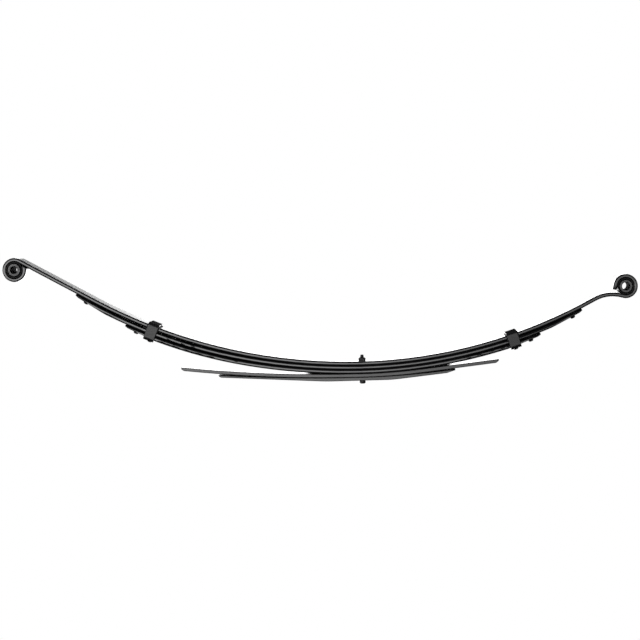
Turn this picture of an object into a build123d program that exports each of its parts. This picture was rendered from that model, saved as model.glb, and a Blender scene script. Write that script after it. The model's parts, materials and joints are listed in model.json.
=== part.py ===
"""A leaf spring for a light truck: three main leaves with two clips, two overload leaves, rubber eyes.

+X runs to the rear of the vehicle, +Z is up and Y runs across the leaves. The origin is on the centre
bolt's axis, at the seat face under the lowest leaf. Millimetres.

Every leaf is drawn as two arms that leave the centre bolt level and curve upwards. An arm is a list of
segments, each one a length and a curvature (one over its radius, positive when the arm turns upwards).
"""
from build123d import *
import os
from math import acos, atan2, cos, degrees, hypot, pi, radians, sin

FRONT, REAR = -1, 1

# Leaves
LEAF_WIDTH = 63.5
EDGE_ROUND = 3.2  # the rolled long edges of the strip
TIP_CORNER = 4.0  # plan radius of a leaf's two tip corners
MAIN_THICKNESS = 8.6
SECOND_THICKNESS = 8.6
THIRD_THICKNESS = 8.6
UPPER_OVERLOAD_THICKNESS = 7.5
LOWER_OVERLOAD_THICKNESS = 7.0

# Eyes of the main leaf
EYE_OUTER_RADIUS = 25.4
FRONT_RADIUS = 1136.0  # camber radius of the main leaf's middle, ahead of the bolt
FRONT_CURVED_ANGLE = 29.5
FRONT_STRAIGHT = 181.0
FRONT_EYE_GAP = 0.8  # between the rolled end and the leaf above it
FRONT_EYE_END = 52.0  # where the rolled end stops, from the leaf's own direction
REAR_RADIUS = 1053.0
REAR_EYE_X = 555.1
REAR_EYE_Z = 182.2
REAR_BEND_RADIUS = 75.0  # the reverse bend that drops the leaf under its eye
REAR_EYE_WRAP_END = 255.0  # heading of the strip where it leaves the eye as a straight tail
REAR_TAIL = 12.5

# Shorter leaves: (length, radius) pairs of each arm's middle line, from the bolt outwards
SECOND_FRONT = ((330.0, 1191.0), (302.0, 1048.0))
SECOND_REAR = ((280.0, 1075.0), (200.5, 1074.0))
THIRD_FRONT = ((240.0, 1269.0), (274.0, 1037.0))
THIRD_REAR = ((200.0, 1102.0), (184.5, 1138.0))
TIP_TAPER = 75.0  # length of the thinned tip of the second and third leaves
TIP_THICKNESS = 4.6  # where the thinned tip meets its end bevel
TIP_BEVEL = 8.0
TIP_LIP = 2.6  # thickness left at the very end
LONGEST_TIP_EDGE = 20.0  # side edges shorter than this belong to a tip and stay sharp
CUTTER_OVERLAP = 0.01

# Overload leaves: the upper and lower surface of each arm
UPPER_OVERLOAD_FRONT_TOP = ((382.0, 3070.0),)
UPPER_OVERLOAD_FRONT_BOTTOM = ((376.0, 2990.0),)
UPPER_OVERLOAD_REAR_TOP = ((130.0, 1250.0), (158.0, None))
UPPER_OVERLOAD_REAR_BOTTOM = ((130.0, 1257.5), (152.0, None))
LOWER_OVERLOAD_FRONT_TOP = ((303.0, 3700.0),)
LOWER_OVERLOAD_FRONT_BOTTOM = ((62.0, None), (26.0, 400.0), (210.0, None))
LOWER_OVERLOAD_REAR_TOP = ((130.0, 1560.0), (66.0, 6000.0))
LOWER_OVERLOAD_REAR_BOTTOM = ((50.0, None), (28.0, 290.0), (100.0, None))
UPPER_OVERLOAD_LIP = 3.4  # thickness left at the ends of the overload leaves
LOWER_OVERLOAD_LIP = 1.6
OVERLOAD_EDGE_ROUND = 0.8

# Eye bushings
EYE_FIT = 0.05
OUTER_SLEEVE_WALL = 1.2
OUTER_SLEEVE_LENGTH = 62.0
RUBBER_RECESS = 2.6  # how far the moulded groove is sunk at each end
RUBBER_LENGTH = 64.5
RUBBER_INNER_LIP = 0.6
RUBBER_OUTER_LIP = 0.35
RUBBER_FIT = 0.02
INNER_SLEEVE_RADIUS = 13.4
FRONT_SLEEVE_BORE = 7.2  # radius
REAR_SLEEVE_BORE = 8.2
INNER_SLEEVE_LENGTH = 68.0
INNER_SLEEVE_CHAMFER = 0.8
SLEEVE_CLEARANCE = 0.05

# Centre bolt and nut, M8
BOLT_RADIUS = 4.0
BOLT_HOLE_RADIUS = 4.6
BOLT_HEAD_RADIUS = 6.3
BOLT_HEAD_HEIGHT = 8.4
BOLT_HEAD_DOME = 3.0
BOLT_COLLAR_RADIUS = 6.9  # a thin collar on the head, let into a spot face so that the seat stays flat
BOLT_COLLAR_DEPTH = 0.6
SPOT_FACE_RADIUS = 7.2
BOLT_STICK_OUT = 12.6  # bolt end above the main leaf
BOLT_POINT_LENGTH = 3.0
BOLT_POINT_RADIUS = 2.9
NUT_ACROSS_FLATS = 13.0
NUT_HEIGHT = 6.5
NUT_TURNED = 2.2  # how far the turning cuts in from the corners at the top face
NUT_FIT = 0.1
NUT_LIFT = 0.04  # a flat nut on the hollow top of the leaf touches at its ends only

# Clips
FRONT_CLIP_AT = 457.0
REAR_CLIP_AT = 327.0
CLIP_WIDTH = 23.0
CLIP_THICKNESS = 3.4
CLIP_BEND_RADIUS = 3.0  # inside the bends
CLIP_EDGE_ROUND = 0.7
CLIP_FLAP_GAP = 16.0  # between the two folded ends
CLIP_SIDE_PLAY = 0.2
CLIP_BOTTOM_PLAY = 0.15
CLIP_TOP_PLAY = 0.2
LINER_THICKNESS = 1.4
LINER_WIDTH = 26.0
LINER_LEG = 13.0
LINER_PLAY = 0.35
RIVET_RADIUS = 4.0
RIVET_HEAD_RADIUS = 5.6
RIVET_HEAD_HEIGHT = 4.6
RIVET_HEAD_ROUND = 3.7
RIVET_SINK_RADIUS = 6.6
RIVET_SINK_DEPTH = 2.6
RIVET_FIT = 0.1

# Anti-friction pads at the tips of the second and third leaves
SECOND_FRONT_PAD_AT = 608.0
SECOND_REAR_PAD_AT = 458.0
THIRD_FRONT_PAD_AT = 490.0
THIRD_REAR_PAD_AT = 362.0
PAD_LENGTH = 28.0
PAD_WIDTH = 50.0
PAD_THICKNESS = 0.9
PAD_CORNER = 6.0
PAD_PLAY = 0.15
PAD_TAPER_DEPTH = 2.7  # how far the thinned tip lets the button up
PAD_STEM_RADIUS = 3.8
PAD_STEM_TUCK = 1.0  # how far the stem runs into the button
PAD_HOLE_RADIUS = 4.1
PAD_BUTTON_RADIUS = 5.2
PAD_BUTTON_HEIGHT = 5.2
PAD_BUTTON_ROUND = 2.8

SEAT_Z = 0.0
UPPER_OVERLOAD_Z = SEAT_Z + LOWER_OVERLOAD_THICKNESS
THIRD_Z = UPPER_OVERLOAD_Z + UPPER_OVERLOAD_THICKNESS
SECOND_Z = THIRD_Z + THIRD_THICKNESS
MAIN_Z = SECOND_Z + SECOND_THICKNESS
TOP_Z = MAIN_Z + MAIN_THICKNESS
EYE_INNER_RADIUS = EYE_OUTER_RADIUS - MAIN_THICKNESS
EYE_MIDDLE_RADIUS = EYE_OUTER_RADIUS - MAIN_THICKNESS / 2


# ---------------------------------------------------------------- arms
# A pose on an arm is (distance from the bolt, height, heading in radians above level).

def segments(pairs):
    """Turns (length, radius) pairs into (length, curvature) segments; a radius of None is straight."""
    return [(length, 0.0 if radius is None else 1.0 / radius) for length, radius in pairs]


def step(pose, length, curvature):
    """The pose a given length further along."""
    out, up, heading = pose
    if curvature == 0.0:
        return out + length * cos(heading), up + length * sin(heading), heading
    turned = heading + length * curvature
    out += (sin(turned) - sin(heading)) / curvature
    up -= (cos(turned) - cos(heading)) / curvature
    return out, up, turned


def pose_at(height, arm, distance):
    """The pose at a distance along an arm that leaves the bolt level at a height."""
    pose = (0.0, height, 0.0)
    for length, curvature in arm:
        used = min(length, distance)
        pose = step(pose, used, curvature)
        distance -= used
    return pose


def end_pose(height, arm):
    """The pose at the end of an arm."""
    return pose_at(height, arm, sum(length for length, curvature in arm))


def beside(pose, shift, side):
    """The point a distance above the arm's line at a pose, as an XYZ point on one side of the bolt."""
    out, up, heading = pose
    return side * (out - shift * sin(heading)), 0.0, up + shift * cos(heading)


def surface_edges(height, arm, side, shift=0.0):
    """The line that runs beside an arm, as edges, and the pose at its end."""
    pose = (0.0, height, 0.0)
    edges = []
    for length, curvature in arm:
        start = beside(pose, shift, side)
        middle = beside(step(pose, length / 2, curvature), shift, side)
        pose = step(pose, length, curvature)
        end = beside(pose, shift, side)
        edges.append(ThreePointArc(start, middle, end) if curvature else Line(start, end))
    return edges, pose


def strip_arm(height, thickness, arm, side):
    """The outline of one arm of even thickness, open at the bolt."""
    middle = height + thickness / 2
    top, end = surface_edges(middle, arm, side, thickness / 2)
    bottom, end = surface_edges(middle, arm, side, -thickness / 2)
    return top + bottom + [Line(beside(end, thickness / 2, side), beside(end, -thickness / 2, side))]


def tapered_arm(height, thickness, lip, top_arm, bottom_arm, side):
    """The outline of one arm with an upper and a lower surface of their own, open at the bolt."""
    top, top_end = surface_edges(height + thickness, top_arm, side)
    bottom, bottom_end = surface_edges(height, bottom_arm, side)
    corners = (
        beside(top_end, 0.0, side),
        beside(top_end, -lip, side),
        beside(bottom_end, 0.0, side),
    )
    return top + bottom + [Polyline(*corners)]


def leaf_solid(profile, edge_round=EDGE_ROUND):
    """Extrudes a side profile across the leaf and rounds the long edges."""
    leaf = extrude(profile, amount=LEAF_WIDTH / 2, dir=(0, 1, 0), both=True)
    side_edges = leaf.faces().filter_by(Axis.Y).edges()
    return fillet(side_edges.filter_by(lambda edge: edge.length > LONGEST_TIP_EDGE), radius=edge_round)


def on_leaf(pose, side):
    """A frame on an arm: its x runs along the leaf to the rear, its z is the leaf's upward normal."""
    return Location(beside(pose, 0.0, side), (0, -side * degrees(pose[2]), 0))


def upright_hole(radius):
    """The cutter for the centre bolt's hole."""
    return Pos(0, 0, TOP_Z / 2) * Cylinder(radius, 2 * TOP_Z)


# ---------------------------------------------------------------- where the arms run
MAIN_FRONT = [
    (radians(FRONT_CURVED_ANGLE) * FRONT_RADIUS, 1.0 / FRONT_RADIUS),
    (FRONT_STRAIGHT, 0.0),
]


def rear_bend():
    """The headings where the rear arm enters its reverse bend and where it meets the eye.

    The bend's centre is where two circles cross: one about the arm's centre of camber, one about the eye.
    """
    camber_z = MAIN_Z + MAIN_THICKNESS / 2 + REAR_RADIUS
    apart = hypot(REAR_EYE_X, camber_z - REAR_EYE_Z)
    to_bend = REAR_RADIUS + REAR_BEND_RADIUS
    eye_to_bend = EYE_MIDDLE_RADIUS + REAR_BEND_RADIUS
    toward_eye = atan2(REAR_EYE_X, camber_z - REAR_EYE_Z)
    opening = acos((apart**2 + to_bend**2 - eye_to_bend**2) / (2 * apart * to_bend))
    enter = toward_eye - opening
    bend_x = to_bend * sin(enter)
    bend_z = camber_z - to_bend * cos(enter)
    leave = atan2(bend_x - REAR_EYE_X, REAR_EYE_Z - bend_z)
    return enter, leave


BEND_ENTER, BEND_LEAVE = rear_bend()
MAIN_REAR = [
    (REAR_RADIUS * BEND_ENTER, 1.0 / REAR_RADIUS),
    (REAR_BEND_RADIUS * (BEND_ENTER - BEND_LEAVE), -1.0 / REAR_BEND_RADIUS),
    (EYE_MIDDLE_RADIUS * (radians(REAR_EYE_WRAP_END) - BEND_LEAVE), 1.0 / EYE_MIDDLE_RADIUS),
    (REAR_TAIL, 0.0),
]
FRONT_EYE_POSE = end_pose(MAIN_Z + MAIN_THICKNESS / 2, MAIN_FRONT)
FRONT_EYE_CENTRE = beside(FRONT_EYE_POSE, -EYE_MIDDLE_RADIUS, FRONT)
REAR_EYE_CENTRE = (REAR_EYE_X, 0.0, REAR_EYE_Z)


# ---------------------------------------------------------------- leaves
def front_eye_ring():
    """The rolled front eye: a ring drawn about the eye with the leaf leaving level along +X above it."""
    reach = 2 * EYE_OUTER_RADIUS
    ring = Circle(EYE_OUTER_RADIUS) - Circle(EYE_INNER_RADIUS)
    under_leaf = EYE_INNER_RADIUS - FRONT_EYE_GAP
    end_angle = radians(FRONT_EYE_END)
    open_part = make_face(
        Polyline(
            (0, 0),
            (reach * cos(end_angle), reach * sin(end_angle)),
            (reach, reach),
            (0, reach),
            close=True,
        )
    )
    above = Pos(reach / 2, under_leaf + reach / 2) * Rectangle(reach, reach)
    return ring - open_part - above


def main_leaf():
    """The full-length leaf with a downturned front eye and an upturned rear eye."""
    outline = strip_arm(MAIN_Z, MAIN_THICKNESS, MAIN_FRONT, FRONT)
    outline += strip_arm(MAIN_Z, MAIN_THICKNESS, MAIN_REAR, REAR)
    eye_plane = Plane(
        origin=FRONT_EYE_CENTRE,
        x_dir=(cos(FRONT_EYE_POSE[2]), 0, -sin(FRONT_EYE_POSE[2])),
        z_dir=(0, -1, 0),
    )
    profile = make_face(outline) + eye_plane * front_eye_ring()
    return leaf_solid(profile) - upright_hole(BOLT_HOLE_RADIUS)


def short_leaf(height, thickness, front, rear, hole_poses):
    """A graduated leaf with thinned tips, rounded tip corners and a hole for each pad."""
    outline = strip_arm(height, thickness, segments(front), FRONT)
    outline += strip_arm(height, thickness, segments(rear), REAR)
    leaf = leaf_solid(make_face(outline)) - upright_hole(BOLT_HOLE_RADIUS)
    for side, arm in ((FRONT, segments(front)), (REAR, segments(rear))):
        leaf -= tip_taper(height + thickness / 2, thickness, arm, side)
        leaf -= tip_corners(end_pose(height + thickness / 2, arm), side)
    for pose, side in hole_poses:
        leaf -= on_leaf(pose, side) * Cylinder(PAD_HOLE_RADIUS, 3 * thickness)
    return leaf


def tip_taper(middle, thickness, arm, side):
    """The cutter that thins a leaf towards its tip and bevels the end, both from below."""
    length = sum(length for length, curvature in arm)
    start = pose_at(middle, arm, length - TIP_TAPER)
    bevel = pose_at(middle, arm, length - TIP_BEVEL)
    end = step(end_pose(middle, arm), CUTTER_OVERLAP, 0.0)
    corners = (
        beside(start, -thickness / 2, side),
        beside(bevel, thickness / 2 - TIP_THICKNESS, side),
        beside(end, thickness / 2 - TIP_LIP, side),
        beside(end, -thickness, side),
        beside(start, -thickness, side),
    )
    return extrude(make_face(Polyline(*corners, close=True)), amount=LEAF_WIDTH, dir=(0, 1, 0), both=True)


def tip_corners(pose, side):
    """The cutters that round a tip's two corners in plan."""
    half = TIP_CORNER / 2
    block = Box(TIP_CORNER, TIP_CORNER, LEAF_WIDTH) - Pos(-half, -half) * Cylinder(TIP_CORNER, LEAF_WIDTH)
    corner = Pos(CUTTER_OVERLAP - half, LEAF_WIDTH / 2 + CUTTER_OVERLAP - half) * block
    both = corner + mirror(corner, Plane.XZ)
    if side == FRONT:
        both = mirror(both, Plane.YZ)
    return on_leaf(pose, side) * both


def overload_leaf(height, thickness, lip, front_top, front_bottom, rear_top, rear_bottom):
    """A flat helper leaf that the main pack meets only under load."""
    outline = tapered_arm(height, thickness, lip, segments(front_top), segments(front_bottom), FRONT)
    outline += tapered_arm(height, thickness, lip, segments(rear_top), segments(rear_bottom), REAR)
    leaf = leaf_solid(make_face(outline), OVERLOAD_EDGE_ROUND) - upright_hole(BOLT_HOLE_RADIUS)
    for side, arm in ((FRONT, segments(front_top)), (REAR, segments(rear_top))):
        leaf -= tip_corners(end_pose(height + thickness, arm), side)
    return leaf


# ---------------------------------------------------------------- pads
def pad_poses():
    """Where each pad's stem crosses the middle of the leaf that holds it."""
    second = SECOND_Z + SECOND_THICKNESS / 2
    third = THIRD_Z + THIRD_THICKNESS / 2
    return {
        "second_leaf_front_tip_pad": (pose_at(second, segments(SECOND_FRONT), SECOND_FRONT_PAD_AT), FRONT),
        "second_leaf_rear_tip_pad": (pose_at(second, segments(SECOND_REAR), SECOND_REAR_PAD_AT), REAR),
        "third_leaf_front_tip_pad": (pose_at(third, segments(THIRD_FRONT), THIRD_FRONT_PAD_AT), FRONT),
        "third_leaf_rear_tip_pad": (pose_at(third, segments(THIRD_REAR), THIRD_REAR_PAD_AT), REAR),
    }


def tip_pad(thickness):
    """A flat plastic pad on top of a leaf, held by a stem with a snap button below the leaf."""
    plate_bottom = thickness / 2 + PAD_PLAY
    button_top = PAD_TAPER_DEPTH - plate_bottom
    plate = extrude(RectangleRounded(PAD_LENGTH, PAD_WIDTH, PAD_CORNER), PAD_THICKNESS)
    stem_top = plate_bottom + PAD_THICKNESS
    stem_bottom = button_top - PAD_STEM_TUCK
    stem = Pos(0, 0, (stem_top + stem_bottom) / 2) * Cylinder(PAD_STEM_RADIUS, stem_top - stem_bottom)
    button = Pos(0, 0, button_top - PAD_BUTTON_HEIGHT / 2) * Cylinder(PAD_BUTTON_RADIUS, PAD_BUTTON_HEIGHT)
    button = fillet(button.edges().sort_by(Axis.Z)[0], radius=PAD_BUTTON_ROUND)
    return Pos(0, 0, plate_bottom) * plate + stem + button


# ---------------------------------------------------------------- clips
def clip_frame(side):
    """The middle of the third leaf at a clip, and the pack's height there above the leaf's underside."""
    third, main, at = THIRD_FRONT, MAIN_FRONT, FRONT_CLIP_AT
    if side == REAR:
        third, main, at = THIRD_REAR, MAIN_REAR, REAR_CLIP_AT
    low = pose_at(THIRD_Z + THIRD_THICKNESS / 2, segments(third), at)
    high = pose_at(MAIN_Z + MAIN_THICKNESS / 2, main, at)
    heading = (low[2] + high[2]) / 2
    rise = (high[1] - low[1]) * cos(heading) - (high[0] - low[0]) * sin(heading)
    return (low[0], low[1], heading), rise + MAIN_THICKNESS / 2 + THIRD_THICKNESS / 2


def across_leaf(profile, width):
    """Extrudes a profile drawn across the pack (x as Y, y as Z) along the leaf, both ways."""
    return extrude(Plane.YZ * profile, amount=width / 2, both=True)


def clip_band(pack_height):
    """The steel strap: under the third leaf, up both sides and folded over the liner."""
    inside_width = LEAF_WIDTH + 2 * (LINER_PLAY + LINER_THICKNESS + CLIP_SIDE_PLAY)
    inside_height = CLIP_BOTTOM_PLAY + pack_height + LINER_PLAY + LINER_THICKNESS + CLIP_TOP_PLAY
    middle = -THIRD_THICKNESS / 2 - CLIP_BOTTOM_PLAY + inside_height / 2
    outside = RectangleRounded(
        inside_width + 2 * CLIP_THICKNESS,
        inside_height + 2 * CLIP_THICKNESS,
        CLIP_BEND_RADIUS + CLIP_THICKNESS,
    )
    profile = outside - RectangleRounded(inside_width, inside_height, CLIP_BEND_RADIUS)
    profile -= Pos(0, inside_height / 2) * Rectangle(CLIP_FLAP_GAP, 4 * CLIP_THICKNESS)
    band = across_leaf(Pos(0, middle) * profile, CLIP_WIDTH)
    band = fillet(band.faces().filter_by(Axis.X).edges(), radius=CLIP_EDGE_ROUND)
    hole = Pos(0, 0, -THIRD_THICKNESS) * Cylinder(RIVET_RADIUS + RIVET_FIT, 3 * THIRD_THICKNESS)
    return band - hole


def clip_liner(pack_height):
    """The plastic saddle between the main leaf and the strap: a plate on top with two short legs."""
    top = -THIRD_THICKNESS / 2 + pack_height + LINER_PLAY
    inner_half = LEAF_WIDTH / 2 + LINER_PLAY
    outer_half = inner_half + LINER_THICKNESS
    plate = Pos(0, top + LINER_THICKNESS / 2 - LINER_LEG / 2)
    plate *= RectangleRounded(2 * outer_half, LINER_LEG + LINER_THICKNESS, CLIP_BEND_RADIUS)
    inside = Pos(0, top - LINER_LEG) * Rectangle(2 * inner_half, 2 * LINER_LEG)
    square_legs = Pos(0, top - LINER_LEG * 0.75) * Rectangle(2 * outer_half, LINER_LEG / 2)
    return across_leaf(plate + square_legs - inside, LINER_WIDTH)


def clip_rivet():
    """A rivet with a flush head in the top of the third leaf and a round head under the strap."""
    flush = THIRD_THICKNESS / 2
    bottom = -THIRD_THICKNESS / 2 - CLIP_BOTTOM_PLAY - CLIP_THICKNESS - RIVET_FIT
    shank = Pos(0, 0, (flush + bottom) / 2) * Cylinder(RIVET_RADIUS, flush - bottom)
    sink = Pos(0, 0, flush - RIVET_SINK_DEPTH / 2)
    sink *= Cone(RIVET_RADIUS, RIVET_SINK_RADIUS, RIVET_SINK_DEPTH)
    head = Pos(0, 0, bottom - RIVET_HEAD_HEIGHT / 2) * Cylinder(RIVET_HEAD_RADIUS, RIVET_HEAD_HEIGHT)
    head = fillet(head.edges().sort_by(Axis.Z)[0], radius=RIVET_HEAD_ROUND)
    return shank + sink + head


def rivet_hole():
    """The cutter for the countersunk hole in the third leaf; its cone runs on to twice the depth."""
    small = RIVET_RADIUS + RIVET_FIT
    large = small + 2 * (RIVET_SINK_RADIUS - RIVET_RADIUS)
    sink = Pos(0, 0, THIRD_THICKNESS / 2) * Cone(small, large, 2 * RIVET_SINK_DEPTH)
    return Cylinder(small, 4 * THIRD_THICKNESS) + sink


# ---------------------------------------------------------------- bushings
def tube(outer, inner, length):
    """A tube along Y, centred on the origin."""
    return Rot(90, 0, 0) * (Cylinder(outer, length) - Cylinder(inner, 2 * length))


def outer_sleeve():
    """The thin steel shell pressed into the eye."""
    outer = EYE_INNER_RADIUS - EYE_FIT
    return tube(outer, outer - OUTER_SLEEVE_WALL, OUTER_SLEEVE_LENGTH)


def bushing_rubber():
    """The moulded rubber, with a round groove sunk into each end face."""
    outer = EYE_INNER_RADIUS - EYE_FIT - OUTER_SLEEVE_WALL - RUBBER_FIT
    inner = INNER_SLEEVE_RADIUS + SLEEVE_CLEARANCE
    body = tube(outer, inner, RUBBER_LENGTH)
    groove = tube(outer - RUBBER_OUTER_LIP, inner + RUBBER_INNER_LIP, 2 * RUBBER_RECESS)
    for end in (-1, 1):
        body -= Pos(0, end * RUBBER_LENGTH / 2, 0) * groove
    return body


def inner_sleeve(bore):
    """The steel tube that the eye bolt clamps."""
    sleeve = tube(INNER_SLEEVE_RADIUS, bore, INNER_SLEEVE_LENGTH)
    return chamfer(sleeve.edges().filter_by(GeomType.CIRCLE), length=INNER_SLEEVE_CHAMFER)


# ---------------------------------------------------------------- centre bolt
def centre_bolt():
    """The bolt that ties the leaves: round locating head below, pointed end above."""
    end = TOP_Z + BOLT_STICK_OUT
    shank_length = end - BOLT_POINT_LENGTH
    shank = Pos(0, 0, shank_length / 2) * Cylinder(BOLT_RADIUS, shank_length)
    point = Pos(0, 0, end - BOLT_POINT_LENGTH / 2) * Cone(BOLT_RADIUS, BOLT_POINT_RADIUS, BOLT_POINT_LENGTH)
    head = Pos(0, 0, -BOLT_HEAD_HEIGHT / 2) * Cylinder(BOLT_HEAD_RADIUS, BOLT_HEAD_HEIGHT)
    head = fillet(head.edges().sort_by(Axis.Z)[0], radius=BOLT_HEAD_DOME)
    collar = Pos(0, 0, BOLT_COLLAR_DEPTH / 2) * Cylinder(BOLT_COLLAR_RADIUS, BOLT_COLLAR_DEPTH)
    return shank + point + head + collar


def centre_bolt_nut():
    """A hexagon nut with its upper corners turned off."""
    corner_radius = NUT_ACROSS_FLATS / 3**0.5
    blank = extrude(RegularPolygon(NUT_ACROSS_FLATS / 2, 6, major_radius=False), NUT_HEIGHT)
    turned = Cone(corner_radius - NUT_TURNED + NUT_HEIGHT, corner_radius - NUT_TURNED, NUT_HEIGHT)
    nut = blank & Pos(0, 0, NUT_HEIGHT / 2) * turned
    nut -= Cylinder(BOLT_RADIUS + NUT_FIT, 2 * NUT_HEIGHT)
    return Pos(0, 0, TOP_Z + NUT_LIFT) * nut


# ---------------------------------------------------------------- assembly
def build():
    """Every piece of the spring by name."""
    pads = pad_poses()
    second_pads = [pads["second_leaf_front_tip_pad"], pads["second_leaf_rear_tip_pad"]]
    third_pads = [pads["third_leaf_front_tip_pad"], pads["third_leaf_rear_tip_pad"]]
    parts = {
        "main_leaf": main_leaf(),
        "second_leaf": short_leaf(SECOND_Z, SECOND_THICKNESS, SECOND_FRONT, SECOND_REAR, second_pads),
        "third_leaf": short_leaf(THIRD_Z, THIRD_THICKNESS, THIRD_FRONT, THIRD_REAR, third_pads),
        "upper_overload_leaf": overload_leaf(
            UPPER_OVERLOAD_Z,
            UPPER_OVERLOAD_THICKNESS,
            UPPER_OVERLOAD_LIP,
            UPPER_OVERLOAD_FRONT_TOP,
            UPPER_OVERLOAD_FRONT_BOTTOM,
            UPPER_OVERLOAD_REAR_TOP,
            UPPER_OVERLOAD_REAR_BOTTOM,
        ),
        "lower_overload_leaf": overload_leaf(
            SEAT_Z,
            LOWER_OVERLOAD_THICKNESS,
            LOWER_OVERLOAD_LIP,
            LOWER_OVERLOAD_FRONT_TOP,
            LOWER_OVERLOAD_FRONT_BOTTOM,
            LOWER_OVERLOAD_REAR_TOP,
            LOWER_OVERLOAD_REAR_BOTTOM,
        ),
        "centre_bolt": centre_bolt(),
        "centre_bolt_nut": centre_bolt_nut(),
    }
    for name, (pose, side) in pads.items():
        thickness = SECOND_THICKNESS if name.startswith("second") else THIRD_THICKNESS
        parts[name] = on_leaf(pose, side) * tip_pad(thickness)
    parts["lower_overload_leaf"] -= Cylinder(SPOT_FACE_RADIUS, 2 * BOLT_COLLAR_DEPTH)
    for end, side in (("front", FRONT), ("rear", REAR)):
        pose, pack_height = clip_frame(side)
        frame = on_leaf(pose, side)
        parts["third_leaf"] -= frame * rivet_hole()
        parts[f"{end}_clip_band"] = frame * clip_band(pack_height)
        parts[f"{end}_clip_liner"] = frame * clip_liner(pack_height)
        parts[f"{end}_clip_rivet"] = frame * clip_rivet()
    eyes = (("front", FRONT_EYE_CENTRE, FRONT_SLEEVE_BORE), ("rear", REAR_EYE_CENTRE, REAR_SLEEVE_BORE))
    for end, centre, bore in eyes:
        parts[f"{end}_bushing_outer_sleeve"] = Pos(*centre) * outer_sleeve()
        parts[f"{end}_bushing_rubber"] = Pos(*centre) * bushing_rubber()
        parts[f"{end}_bushing_inner_sleeve"] = Pos(*centre) * inner_sleeve(bore)
    return parts


os.makedirs("parts", exist_ok=True)
for node, shape in build().items():
    shape.label = node
    export_step(shape, f"parts/{node}.step")
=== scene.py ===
"""Looks for the leaf spring: leaves cut into arms with cross cuts, black paint, rubber eyes, and a plain
white studio.

Metres, in the part's own frame: +X runs to the rear of the vehicle, +Z is up, the near side faces -Y.
"""

import json
from math import cos, pi, radians, sin

import bmesh
import bpy
from mathutils import Matrix, Vector


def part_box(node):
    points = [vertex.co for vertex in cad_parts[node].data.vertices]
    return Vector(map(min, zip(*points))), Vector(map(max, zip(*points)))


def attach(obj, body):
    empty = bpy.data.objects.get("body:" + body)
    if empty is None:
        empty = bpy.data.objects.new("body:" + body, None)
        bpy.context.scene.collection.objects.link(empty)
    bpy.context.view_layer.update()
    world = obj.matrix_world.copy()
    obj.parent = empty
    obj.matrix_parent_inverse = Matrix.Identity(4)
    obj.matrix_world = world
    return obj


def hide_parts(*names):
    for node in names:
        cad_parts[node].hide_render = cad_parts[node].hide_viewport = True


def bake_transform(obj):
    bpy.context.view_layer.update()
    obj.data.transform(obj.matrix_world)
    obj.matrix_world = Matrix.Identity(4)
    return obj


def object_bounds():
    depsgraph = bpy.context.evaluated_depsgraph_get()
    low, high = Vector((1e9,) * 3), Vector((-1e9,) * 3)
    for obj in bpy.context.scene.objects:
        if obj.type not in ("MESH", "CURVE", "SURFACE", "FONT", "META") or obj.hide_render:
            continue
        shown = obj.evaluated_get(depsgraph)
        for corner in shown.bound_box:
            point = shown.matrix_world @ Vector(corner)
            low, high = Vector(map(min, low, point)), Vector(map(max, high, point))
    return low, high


MM = 0.001

# Where each arm bends: a leaf follows the seat up to the start and the arm from the end on
BEND_START = 0.05
FRONT_BEND_END = 0.43
REAR_BEND_END = 0.30
CROSS_CUT = 10 * MM  # spacing of the cross cuts over a leaf's bending zone
WELD_DISTANCE = 0.001 * MM
SMOOTH_ANGLE = 32.0  # degrees; a sharper edge stays sharp

# Centre bolt, M8, with its thread at the upper end
BOLT_RADIUS = 4.0 * MM
BOLT_HEAD_DOME = 3.0 * MM
BOLT_HEAD_RADIUS = 6.3 * MM
BOLT_COLLAR_RADIUS = 6.9 * MM
BOLT_COLLAR_TOP = 0.6 * MM
BOLT_POINT_LENGTH = 3.0 * MM
BOLT_POINT_RADIUS = 2.9 * MM
THREAD_LENGTH = 20.0 * MM
THREAD_PITCH = 1.25 * MM
THREAD_DEPTH = 0.68 * MM
THREAD_STEPS = 8  # rings in one pitch
TURN_STEPS = 48
DOME_STEPS = 8

# Camera
CAMERA_YAW = 2.13
CAMERA_PITCH = -2.43
CAMERA_ROLL = -1.75
CAMERA_DISTANCE = 4.097
CAMERA_LENS_MM = 109.8
CAMERA_SENSOR_MM = 36.0
CAMERA_AIM_SHIFT = Vector((0.0009, 0.0, -0.0055))  # from the middle of the object's box

# Studio
FLOOR_SIZE = 5.0
FLOOR_Z = -0.6
PAPER_WHITE = (1.0, 1.0, 1.0, 1.0)
FLOOR_GREY = (0.04, 0.04, 0.04, 1.0)
OVERHEAD_PLACE = (0.0, -0.3, 2.2)
OVERHEAD_TARGET = (0.0, 0.0, 0.1)
OVERHEAD_SIZE = (2.6, 1.2)
OVERHEAD_WATTS = 40.0

# What the object sees around it, by direction: the Z part is the height above the horizon,
# and the Y part is -1 straight towards the camera's side and 1 straight behind the object
FRONT_BAND_GLOW = 6.2  # a long window-like band behind the camera; it draws the light line along each leaf
FRONT_BAND_HEIGHT = -0.042
FRONT_BAND_HALF = (0.06, 0.20)  # distance from the band's height where it starts and stops fading
FRONT_BAND_EDGE = (-0.85, -0.60)
FRONT_BAND_SIDES = (-0.08, 0.10)  # the band dims from left to right between these X parts
FRONT_BAND_RIGHT = 0.36  # share of its glow that is left on the right
BACK_EDGE = (0.50, 0.80)
BACK_LOW_GLOW = 4.0
BACK_HIGH_GLOW = 0.35
BACK_FADE = (0.100, 0.132)  # height where the backdrop dims
AROUND_GLOW = 0.015

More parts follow.
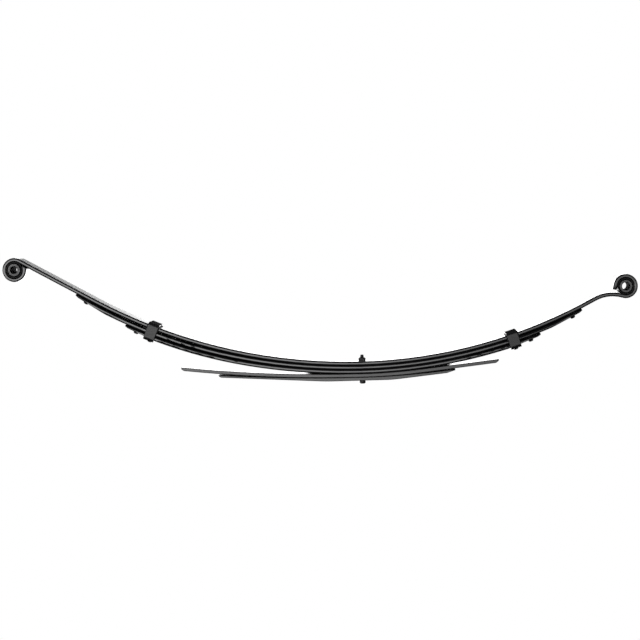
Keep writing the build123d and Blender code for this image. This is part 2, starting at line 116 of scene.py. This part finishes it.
# Colours
LEAF_BLACK = (0.0060, 0.0060, 0.0066, 1.0)
CLIP_BLACK = (0.0080, 0.0080, 0.0084, 1.0)
# painted shade: the near black put deep in the gaps between leaves and in the sleeves' bores
PAINTED_SHADE_BLACK = (0.004, 0.004, 0.004, 1.0)
DUST_BROWN = (0.15, 0.145, 0.135, 1.0)
RUBBED_PAINT = (0.10, 0.10, 0.105, 1.0)
PHOSPHATE_DARK = (0.014, 0.014, 0.015, 1.0)
PHOSPHATE_LIGHT = (0.04, 0.038, 0.037, 1.0)
RUBBED_BOLT = (0.24, 0.23, 0.22, 1.0)
RUBBER_BLACK = (0.005, 0.005, 0.0055, 1.0)
RUBBER_BLOOM = (0.022, 0.021, 0.020, 1.0)
NYLON_BLACK = (0.012, 0.012, 0.013, 1.0)
NYLON_SCUFF = (0.04, 0.04, 0.04, 1.0)

SHADE_REACH = 4.0 * MM  # a gap narrower than about this gets painted shade and a dull finish
BORE_SHARE = (0.312, 0.325)  # an inner sleeve's bore, as a share of the sleeve's width

LEAVES_THAT_BEND = ("main_leaf", "second_leaf", "third_leaf")
OVERLOAD_LEAVES = ("upper_overload_leaf", "lower_overload_leaf")
ENDS = ("front", "rear")


# ---------------------------------------------------------------- node trees
def new_material(name):
    """An empty material and its node tree."""
    material = bpy.data.materials.new(name)
    material.use_nodes = True
    material.node_tree.nodes.clear()
    return material, material.node_tree


def add(tree, kind, inputs=None, **settings):
    """Adds a node. Each input takes a value or another node's output."""
    made = tree.nodes.new(kind)
    for name, value in settings.items():
        setattr(made, name, value)
    for name, value in (inputs or {}).items():
        if isinstance(value, bpy.types.NodeSocket):
            tree.links.new(value, made.inputs[name])
        else:
            made.inputs[name].default_value = value
    return made


def noise(tree, where, scale, detail=2.0, roughness=0.5):
    """Noise between 0 and 1; the scale is in lumps per metre."""
    inputs = {"Vector": where, "Scale": scale, "Detail": detail, "Roughness": roughness}
    return add(tree, "ShaderNodeTexNoise", inputs).outputs["Fac"]


def stretched(tree, where, factors):
    """The coordinates scaled by a factor on each axis."""
    return add(tree, "ShaderNodeMapping", {"Vector": where, "Scale": factors}).outputs["Vector"]


def between(tree, value, low, high, to_low=0.0, to_high=1.0):
    """Maps a value from one range to another, smoothly and clamped."""
    inputs = {"Value": value, "From Min": low, "From Max": high, "To Min": to_low, "To Max": to_high}
    return add(tree, "ShaderNodeMapRange", inputs, interpolation_type="SMOOTHSTEP").outputs["Result"]


def math(tree, operation, first, second):
    """One arithmetic node."""
    return add(tree, "ShaderNodeMath", {0: first, 1: second}, operation=operation).outputs["Value"]


def mix_colors(tree, share, first, second):
    """A colour between two colours."""
    mixed = add(tree, "ShaderNodeMix", data_type="RGBA")
    for socket, value in ((0, share), (6, first), (7, second)):
        if isinstance(value, bpy.types.NodeSocket):
            tree.links.new(value, mixed.inputs[socket])
        else:
            mixed.inputs[socket].default_value = value
    return mixed.outputs[2]


def bump(tree, height, distance, normal=None):
    """Bump from a height between 0 and 1 that stands for a distance in metres."""
    inputs = {"Height": height, "Distance": distance, "Strength": 1.0}
    if normal is not None:
        inputs["Normal"] = normal
    return add(tree, "ShaderNodeBump", inputs).outputs["Normal"]


def surface(tree, **inputs):
    """The principled surface and the material's output."""
    shader = add(tree, "ShaderNodeBsdfPrincipled", {n.replace("_", " "): v for n, v in inputs.items()})
    add(tree, "ShaderNodeOutputMaterial", {"Surface": shader.outputs["BSDF"]})


def object_place(tree):
    """A point's place in the part's frame at rest."""
    return add(tree, "ShaderNodeTexCoord").outputs["Object"]


def rounded_normal(tree, radius):
    """The surface normal with every sharp edge rounded to a radius."""
    return add(tree, "ShaderNodeBevel", {"Radius": radius}, samples=6).outputs["Normal"]


def painted_shade_mask(tree, reach):
    """Where shade is painted: 1 deep in gaps and bores, 0 in the open; the reach is how far a wall counts."""
    open_share = add(tree, "ShaderNodeAmbientOcclusion", {"Distance": reach}, samples=8).outputs["AO"]
    return between(tree, open_share, 0.75, 0.35)


def facing_up(tree):
    """1 on surfaces that face up, 0 on sides and undersides."""
    normal = add(tree, "ShaderNodeNewGeometry").outputs["Normal"]
    height = add(tree, "ShaderNodeSeparateXYZ", {"Vector": normal}).outputs["Z"]
    return between(tree, height, 0.35, 0.95)


def worn_edge(tree, radius):
    """1 on outer edges sharper than a radius."""
    true_normal = add(tree, "ShaderNodeNewGeometry").outputs["Normal"]
    inputs = {0: true_normal, 1: rounded_normal(tree, radius)}
    same = add(tree, "ShaderNodeVectorMath", inputs, operation="DOT_PRODUCT").outputs["Value"]
    return between(tree, same, 0.995, 0.90)


def lighter(color, factor):
    """A colour made lighter by a factor."""
    return tuple(channel * factor for channel in color[:3]) + (1.0,)


# ---------------------------------------------------------------- materials
def paint(name, color, gloss, wear, edge, shine=0.5, weathered_top=0.0):
    """Black paint over rolled steel: orange peel, rolling marks, dust, rubbed edges, painted shade in the
    gaps.
    """
    material, tree = new_material(name)
    where = object_place(tree)
    marks = noise(tree, stretched(tree, where, (7.0, 190.0, 190.0)), 1.0, detail=4.0, roughness=0.6)
    patches = noise(tree, where, 16.0, detail=3.0)
    peel = noise(tree, where, 750.0, detail=1.0)
    grit = noise(tree, where, 2400.0, detail=1.0)
    speckle = between(tree, noise(tree, where, 120.0, detail=6.0, roughness=0.7), 0.46, 0.78)
    dust = math(tree, "MULTIPLY", facing_up(tree), speckle)
    rubbed = math(tree, "MULTIPLY", worn_edge(tree, 0.5 * MM), between(tree, grit, 0.45, 0.62))
    tinted = mix_colors(tree, between(tree, patches, 0.3, 0.7), color, lighter(color, 1.3))
    dusty = mix_colors(tree, math(tree, "MULTIPLY", dust, 0.12), tinted, DUST_BROWN)
    finished = mix_colors(tree, math(tree, "MULTIPLY", rubbed, wear), dusty, RUBBED_PAINT)
    sheen = between(tree, marks, 0.3, 0.7, gloss - 0.025, gloss + 0.035)
    roughness = math(tree, "ADD", sheen, math(tree, "MULTIPLY", dust, 0.04))
    shaped = bump(tree, marks, 0.006 * MM, rounded_normal(tree, edge))
    shaped = bump(tree, peel, 0.003 * MM, shaped)
    # painted shade: deep in the gaps between leaves the colour goes near black and the paint rough, without
    # glint
    gap_shade = painted_shade_mask(tree, SHADE_REACH)
    shaded = mix_colors(tree, gap_shade, finished, PAINTED_SHADE_BLACK)
    dulled = math(tree, "ADD", roughness, math(tree, "MULTIPLY", gap_shade, 0.5))
    matt = math(tree, "MAXIMUM", gap_shade, math(tree, "MULTIPLY", facing_up(tree), weathered_top))
    glint = between(tree, matt, 0.0, 1.0, shine, 0.0)
    surface(tree, Base_Color=shaded, Roughness=dulled, Normal=shaped, Specular_IOR_Level=glint)
    return material


def phosphate():
    """Black phosphate on the centre bolt and its nut: grainy, slightly metallic, brighter where rubbed."""
    material, tree = new_material("bolt_phosphate")
    where = object_place(tree)
    grain = noise(tree, where, 3200.0, detail=3.0)
    patches = noise(tree, where, 240.0, detail=3.0)
    rubbed = math(tree, "MULTIPLY", worn_edge(tree, 0.6 * MM), between(tree, patches, 0.35, 0.6))
    dark = mix_colors(tree, patches, PHOSPHATE_DARK, PHOSPHATE_LIGHT)
    color = mix_colors(tree, math(tree, "MULTIPLY", rubbed, 0.6), dark, RUBBED_BOLT)
    roughness = between(tree, grain, 0.3, 0.7, 0.38, 0.58)
    shaped = bump(tree, grain, 0.03 * MM, rounded_normal(tree, 0.3 * MM))
    surface(tree, Base_Color=color, Metallic=0.6, Roughness=roughness, Normal=shaped)
    return material


def turned_steel(name, dark, bright):
    """Turned steel of the bushing sleeves: rings on the end faces, an oily film, light rust, painted shade in
    the bores.
    """
    material, tree = new_material(name)
    where = object_place(tree)
    around = add(tree, "ShaderNodeTexCoord").outputs["Generated"]
    centred = add(tree, "ShaderNodeVectorMath", {0: around, 1: (0.5, 0.5, 0.5)}, operation="SUBTRACT")
    flat = stretched(tree, centred.outputs["Vector"], (1.0, 0.0, 1.0))
    radius = add(tree, "ShaderNodeVectorMath", {0: flat}, operation="LENGTH").outputs["Value"]
    rings = noise(tree, add(tree, "ShaderNodeCombineXYZ", {"X": radius}).outputs["Vector"], 140.0, detail=3.0)
    film = noise(tree, where, 160.0, detail=4.0)
    rust = between(tree, noise(tree, where, 520.0, detail=6.0, roughness=0.7), 0.58, 0.75)
    steel = mix_colors(tree, film, (dark, dark, dark * 1.04, 1), (bright, bright, bright * 0.99, 1))
    brown = (bright * 0.6, bright * 0.34, bright * 0.2, 1)
    rusty = mix_colors(tree, math(tree, "MULTIPLY", rust, 0.35), steel, brown)
    # painted shade: the bore is painted near black, rough and not metallic
    in_bore = between(tree, radius, *BORE_SHARE, 1.0, 0.0)
    color = mix_colors(tree, in_bore, rusty, PAINTED_SHADE_BLACK)
    polished = math(tree, "ADD", between(tree, film, 0.3, 0.7, 0.3, 0.44), math(tree, "MULTIPLY", rust, 0.25))
    roughness = math(tree, "MAXIMUM", polished, math(tree, "MULTIPLY", in_bore, 0.9))
    shaped = bump(tree, rings, 0.05 * MM, rounded_normal(tree, 0.3 * MM))
    surface(
        tree,
        Base_Color=color,
        Metallic=between(tree, in_bore, 0.0, 1.0, 0.9, 0.0),
        Specular_IOR_Level=between(tree, in_bore, 0.0, 1.0, 0.5, 0.05),
        Roughness=roughness,
        Normal=shaped,
    )
    return material


def moulded_rubber():
    """Matt black rubber: fine mould texture and a faint bloom."""
    material, tree = new_material("bushing_moulded_rubber")
    where = object_place(tree)
    skin = noise(tree, where, 1500.0, detail=4.0, roughness=0.6)
    bloom = between(tree, noise(tree, where, 130.0, detail=4.0), 0.4, 0.75)
    color = mix_colors(tree, math(tree, "MULTIPLY", bloom, 0.3), RUBBER_BLACK, RUBBER_BLOOM)
    roughness = between(tree, bloom, 0.0, 1.0, 0.55, 0.8)
    shaped = bump(tree, skin, 0.08 * MM, rounded_normal(tree, 0.4 * MM))
    surface(tree, Base_Color=color, Roughness=roughness, Normal=shaped, Specular_IOR_Level=0.05)
    return material


def black_nylon():
    """Matt nylon of the tip pads and clip liners: fine spark-eroded texture with scuffs along the leaf."""
    material, tree = new_material("pad_black_nylon")
    where = object_place(tree)
    texture = noise(tree, where, 2000.0, detail=2.0)
    scuffs = noise(tree, stretched(tree, where, (60.0, 900.0, 900.0)), 1.0, detail=4.0)
    rubbed = between(tree, scuffs, 0.52, 0.72)
    color = mix_colors(tree, math(tree, "MULTIPLY", rubbed, 0.6), NYLON_BLACK, NYLON_SCUFF)
    roughness = between(tree, rubbed, 0.0, 1.0, 0.6, 0.45)
    shaped = bump(tree, texture, 0.04 * MM, rounded_normal(tree, 0.4 * MM))
    surface(tree, Base_Color=color, Roughness=roughness, Normal=shaped, Specular_IOR_Level=0.15)
    return material


# ---------------------------------------------------------------- shapes
def smooth(obj):
    """Shades a mesh smooth except at its sharp edges, with the large faces kept flat."""
    obj.data.shade_smooth()
    obj.data.set_sharp_from_angle(angle=radians(SMOOTH_ANGLE))
    weighted = obj.modifiers.new("face_weighted_shading", "WEIGHTED_NORMAL")
    weighted.keep_sharp = True
    return obj


def link_mesh(name, mesh_edit, material):
    """Makes a shown object from a bmesh."""
    mesh = bpy.data.meshes.new(name)
    mesh_edit.to_mesh(mesh)
    mesh_edit.free()
    mesh.materials.append(material)
    obj = bpy.data.objects.new(name, mesh)
    bpy.context.scene.collection.objects.link(obj)
    return obj


def cut(mesh_edit, x, **clear):
    """Cuts a bmesh across the leaf at one X."""
    everything = mesh_edit.verts[:] + mesh_edit.edges[:] + mesh_edit.faces[:]
    return bmesh.ops.bisect_plane(mesh_edit, geom=everything, plane_co=(x, 0, 0), plane_no=(1, 0, 0), **clear)


def half_leaf(node, end, material):
    """One arm of a CAD leaf as a piece of its own, with cross cuts over its bending zone."""
    mesh_edit = bmesh.new()
    mesh_edit.from_mesh(frame["nodes"][node].data)
    bmesh.ops.remove_doubles(mesh_edit, verts=mesh_edit.verts, dist=WELD_DISTANCE)
    cut(mesh_edit, 0.0, clear_outer=end == "front", clear_inner=end == "rear")
    open_edges = [edge for edge in mesh_edit.edges if edge.is_boundary]
    bmesh.ops.holes_fill(mesh_edit, edges=open_edges)
    side = -1 if end == "front" else 1
    bend_end = FRONT_BEND_END if end == "front" else REAR_BEND_END
    cuts = int((bend_end - BEND_START) / CROSS_CUT) + 1
    for index in range(cuts):
        cut(mesh_edit, side * (BEND_START + index * CROSS_CUT))
    piece = link_mesh(f"{node}_{end}_arm", mesh_edit, material)
    smooth(piece)
    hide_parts(node)
    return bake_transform(piece)


def bolt_profile(bottom, top):
    """The bolt's outline from its domed head to its point, as (radius, height, thread depth) rings."""
    rings = []
    for index in range(DOME_STEPS + 1):
        turn = pi / 2 * index / DOME_STEPS
        radius = BOLT_HEAD_RADIUS - BOLT_HEAD_DOME * (1 - sin(turn))
        rings.append((radius, bottom + BOLT_HEAD_DOME * (1 - cos(turn)), 0.0))
    rings.append((BOLT_HEAD_RADIUS, 0.0, 0.0))
    rings.append((BOLT_COLLAR_RADIUS, 0.0, 0.0))
    rings.append((BOLT_COLLAR_RADIUS, BOLT_COLLAR_TOP, 0.0))
    rings.append((BOLT_RADIUS, BOLT_COLLAR_TOP, 0.0))
    steps = round(THREAD_LENGTH / THREAD_PITCH * THREAD_STEPS)
    for index in range(steps + 1):
        below = THREAD_LENGTH * (1 - index / steps)
        radius = BOLT_RADIUS
        if below < BOLT_POINT_LENGTH:
            radius += (BOLT_POINT_RADIUS - BOLT_RADIUS) * (1 - below / BOLT_POINT_LENGTH)
        run_out = min(1.0, index / THREAD_STEPS, below / BOLT_POINT_LENGTH)
        rings.append((radius, top - below, THREAD_DEPTH * run_out))
    return rings


def threaded_bolt(material):
    """The centre bolt turned about Z, with a right-hand thread cut into its upper end."""
    low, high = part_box("centre_bolt")
    mesh_edit = bmesh.new()
    rings = []
    for radius, z, depth in bolt_profile(low.z, high.z):
        ring = []
        for index in range(TURN_STEPS):
            turn = index / TURN_STEPS
            phase = (z / THREAD_PITCH - turn) % 1.0
            r = radius - depth * abs(2 * phase - 1)
            ring.append(mesh_edit.verts.new((r * cos(2 * pi * turn), r * sin(2 * pi * turn), z)))
        rings.append(ring)
    for lower, upper in zip(rings, rings[1:]):
        for index in range(TURN_STEPS):
            after = (index + 1) % TURN_STEPS
            mesh_edit.faces.new((lower[index], lower[after], upper[after], upper[index]))
    mesh_edit.faces.new(reversed(rings[0]))
    mesh_edit.faces.new(rings[-1])
    bolt = smooth(link_mesh("centre_bolt_threaded", mesh_edit, material))
    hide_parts("centre_bolt")
    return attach(bolt, "leaf_pack")


# ---------------------------------------------------------------- studio
def place_camera(box):
    """The camera, by its angles and its distance from the near face of the leaves."""
    low, high = Vector(box[0]), Vector(box[1])
    leaf_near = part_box("main_leaf")[0].y
    aim = (low + high) / 2 + CAMERA_AIM_SHIFT
    aim.y = leaf_near
    turn = Matrix.Rotation(radians(CAMERA_YAW), 4, "Z")
    turn @= Matrix.Rotation(radians(90 + CAMERA_PITCH), 4, "X")
    turn @= Matrix.Rotation(radians(CAMERA_ROLL), 4, "Z")
    data = bpy.data.cameras.new("camera")
    data.lens = CAMERA_LENS_MM
    data.sensor_width = CAMERA_SENSOR_MM
    camera = bpy.data.objects.new("camera", data)
    bpy.context.scene.collection.objects.link(camera)
    camera.matrix_world = Matrix.Translation(aim) @ turn @ Matrix.Translation((0, 0, CAMERA_DISTANCE))
    bpy.context.scene.camera = camera


def softbox(name, place, target, size, power):
    """A rectangular area light that faces a point and leaves no highlight of its own."""
    data = bpy.data.lights.new(name, "AREA")
    data.shape = "RECTANGLE"
    data.size, data.size_y = size
    data.energy = power
    light = bpy.data.objects.new(name, data)
    light.visible_glossy = False
    light.location = place
    light.rotation_euler = (Vector(target) - Vector(place)).to_track_quat("-Z", "Y").to_euler()
    bpy.context.scene.collection.objects.link(light)


def grey_floor():
    """A floor that only the object sees; the camera sees the white backdrop in its place."""
    mesh_edit = bmesh.new()
    bmesh.ops.create_grid(mesh_edit, x_segments=1, y_segments=1, size=FLOOR_SIZE / 2)
    material, tree = new_material("grey_floor")
    matt = add(tree, "ShaderNodeBsdfDiffuse", {"Color": FLOOR_GREY}).outputs["BSDF"]
    add(tree, "ShaderNodeOutputMaterial", {"Surface": matt})
    floor = link_mesh("floor", mesh_edit, material)
    floor.visible_camera = False
    floor.location.z = FLOOR_Z


def white_backdrop():
    """The world: white to the camera. The object sees a bright band in front and a low glow behind."""
    world = bpy.data.worlds.new("studio")
    world.use_nodes = True
    bpy.context.scene.world = world
    tree = world.node_tree
    tree.nodes.clear()
    direction = add(tree, "ShaderNodeTexCoord").outputs["Generated"]
    parts = add(tree, "ShaderNodeSeparateXYZ", {"Vector": direction})
    height = parts.outputs["Z"]
    off_band = math(tree, "ABSOLUTE", math(tree, "SUBTRACT", height, FRONT_BAND_HEIGHT), 0.0)
    front = between(tree, off_band, *FRONT_BAND_HALF, FRONT_BAND_GLOW, 0.0)
    sideways = between(tree, parts.outputs["X"], *FRONT_BAND_SIDES, 1.0, FRONT_BAND_RIGHT)
    in_front = between(tree, parts.outputs["Y"], *FRONT_BAND_EDGE, 1.0, 0.0)
    front = math(tree, "MULTIPLY", math(tree, "MULTIPLY", front, sideways), in_front)
    back = between(tree, height, *BACK_FADE, BACK_LOW_GLOW, BACK_HIGH_GLOW)
    back = math(tree, "MULTIPLY", back, between(tree, parts.outputs["Y"], *BACK_EDGE))
    glow = math(tree, "ADD", math(tree, "ADD", front, back), AROUND_GLOW)
    room = add(tree, "ShaderNodeBackground", {"Color": PAPER_WHITE, "Strength": glow}).outputs[0]
    paper = add(tree, "ShaderNodeBackground", {"Color": PAPER_WHITE, "Strength": 1.0}).outputs[0]
    is_camera = add(tree, "ShaderNodeLightPath").outputs["Is Camera Ray"]
    both = add(tree, "ShaderNodeMixShader", {0: is_camera, 1: room, 2: paper}).outputs["Shader"]
    add(tree, "ShaderNodeOutputWorld", {"Surface": both})


# ---------------------------------------------------------------- build
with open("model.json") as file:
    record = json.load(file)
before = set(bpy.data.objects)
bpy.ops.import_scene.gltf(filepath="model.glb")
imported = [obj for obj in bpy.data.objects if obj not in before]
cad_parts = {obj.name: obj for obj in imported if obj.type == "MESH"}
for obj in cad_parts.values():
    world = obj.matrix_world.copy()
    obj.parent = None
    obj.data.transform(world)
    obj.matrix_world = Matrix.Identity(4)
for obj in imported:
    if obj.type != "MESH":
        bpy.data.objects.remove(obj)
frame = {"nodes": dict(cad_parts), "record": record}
cad_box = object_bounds()

leaf_paint = paint("leaf_paint", LEAF_BLACK, gloss=0.14, wear=0.2, edge=0.8 * MM)
overload_paint = paint("overload_paint", LEAF_BLACK, gloss=0.16, wear=0.2, edge=2.0 * MM, shine=0.38)
clip_paint = paint(
    "clip_paint", CLIP_BLACK, gloss=0.26, wear=0.4, edge=1.4 * MM, shine=0.26, weathered_top=1.0
)
bolt_finish = phosphate()
inner_steel = turned_steel("sleeve_turned_steel", 0.035, 0.075)
outer_steel = turned_steel("sleeve_oiled_steel", 0.006, 0.014)
rubber = moulded_rubber()
nylon = black_nylon()

MATERIAL_OF_SLOT = {
    "leaf_paint": leaf_paint,
    "clip_steel": clip_paint,
    "bolt_steel": bolt_finish,
    "sleeve_steel": inner_steel,
    "bushing_rubber": rubber,
    "pad_plastic": nylon,
}
for subpart in frame["record"]["subparts"]:
    node_object = frame["nodes"][subpart["node"]]
    node_object.data.materials.clear()
    node_object.data.materials.append(MATERIAL_OF_SLOT[subpart["material_slot"]])

for end in ENDS:
    frame["nodes"][f"{end}_bushing_outer_sleeve"].data.materials[0] = outer_steel
for leaf in OVERLOAD_LEAVES:
    frame["nodes"][leaf].data.materials[0] = overload_paint
for leaf in LEAVES_THAT_BEND:
    for end in ENDS:
        half_leaf(leaf, end, leaf_paint)
threaded_bolt(bolt_finish)

place_camera(cad_box)
grey_floor()
white_backdrop()
softbox("overhead", OVERHEAD_PLACE, OVERHEAD_TARGET, OVERHEAD_SIZE, OVERHEAD_WATTS)
bpy.context.scene.view_settings.view_transform = "Standard"
